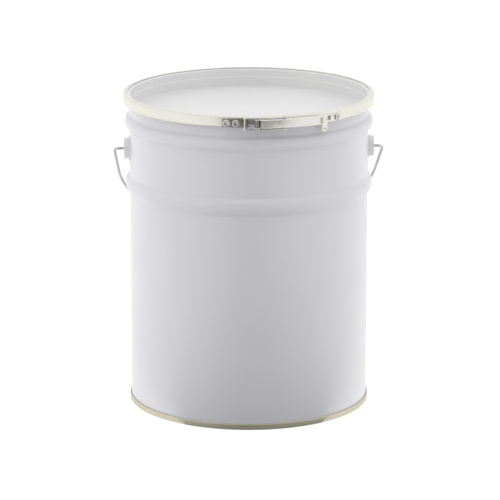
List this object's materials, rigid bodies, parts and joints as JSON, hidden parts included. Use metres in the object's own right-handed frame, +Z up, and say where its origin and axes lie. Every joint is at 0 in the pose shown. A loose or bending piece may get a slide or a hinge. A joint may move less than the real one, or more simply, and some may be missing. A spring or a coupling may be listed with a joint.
{
  "type": "paint can",
  "caption": "Tall straight white steel pail with pressed beads, a recessed lid held by a split clamp band with an over-centre lever latch, and a wire bail in two welded ears",
  "frame": {"origin": "centre of the foot, on the floor", "axes": "+Z up along the can's axis, -Y is the front with the latch, +X is to the right seen from the front and runs through the ears"},
  "size_m": [0.326, 0.3089, 0.38],
  "materials": {
    "body_paint": "semi-gloss white enamel, faintly lavender",
    "lid_paint": "semi-gloss white enamel",
    "ear_paint": "white enamel over spot-welded steel",
    "tinplate": "bare tinplate with a gold lacquer tint",
    "compound": "grey sealing compound",
    "gasket_rubber": "matt grey gasket rubber",
    "band_zinc": "bright zinc plate, slightly yellow",
    "lever_zinc": "bright zinc plate",
    "plate_steel": "dull grey zinc plate",
    "rivet_steel": "plated steel",
    "bail_steel": "galvanised wire"
  },
  "bodies": {
    "can": {"body_shell": "body_paint", "bottom_end": "tinplate", "bottom_seam_compound": "compound", "ear_left": "ear_paint", "ear_right": "ear_paint"},
    "lid_body": {"lid": "lid_paint", "lid_gasket": "gasket_rubber"},
    "band_body": {"clamp_band": "band_zinc", "hook_plate": "plate_steel", "hook_plate_rivets": "rivet_steel", "end_lug": "plate_steel", "end_lug_rivets": "rivet_steel", "lever_hinge_pin": "rivet_steel", "seal_hasp": "band_zinc", "seal_hasp_rivet": "rivet_steel"},
    "lever_body": {"lever": "lever_zinc", "draw_loop_pin": "rivet_steel"},
    "loop_body": {"draw_loop": "lever_zinc"},
    "bail": {"bail_wire": "bail_steel"}
  },
  "joints": [
    {"name": "band_lift", "type": "slide", "parent": "can", "child": "band_body", "axis": [0, 0, 1], "range_m": [0, 0.16], "deforming": ["clamp_band"]},
    {"name": "lid_lift", "type": "slide", "parent": "can", "child": "lid_body", "axis": [0, 0, 1], "range_m": [0, 0.08]},
    {"name": "lever_swing", "type": "hinge", "parent": "band_body", "child": "lever_body", "pos_m": [0.00256, -0.15458, 0.372], "axis": [0, 0, -1], "range_deg": [0, 120]},
    {"name": "loop_swing", "type": "hinge", "parent": "lever_body", "child": "loop_body", "pos_m": [0.03446, -0.15071, 0.372], "axis": [0, 0, 1], "range_deg": [0, 84]},
    {"name": "bail_swing", "type": "hinge", "parent": "can", "child": "bail", "pos_m": [0, 0, 0.311], "axis": [1, 0, 0], "range_deg": [0, 264]}
  ],
  "couplings": [
    {"joint": "lid_lift", "follows": "band_lift", "ratio": 0.5},
    {"joint": "loop_swing", "follows": "lever_swing", "ratio": 0.7}
  ]
}
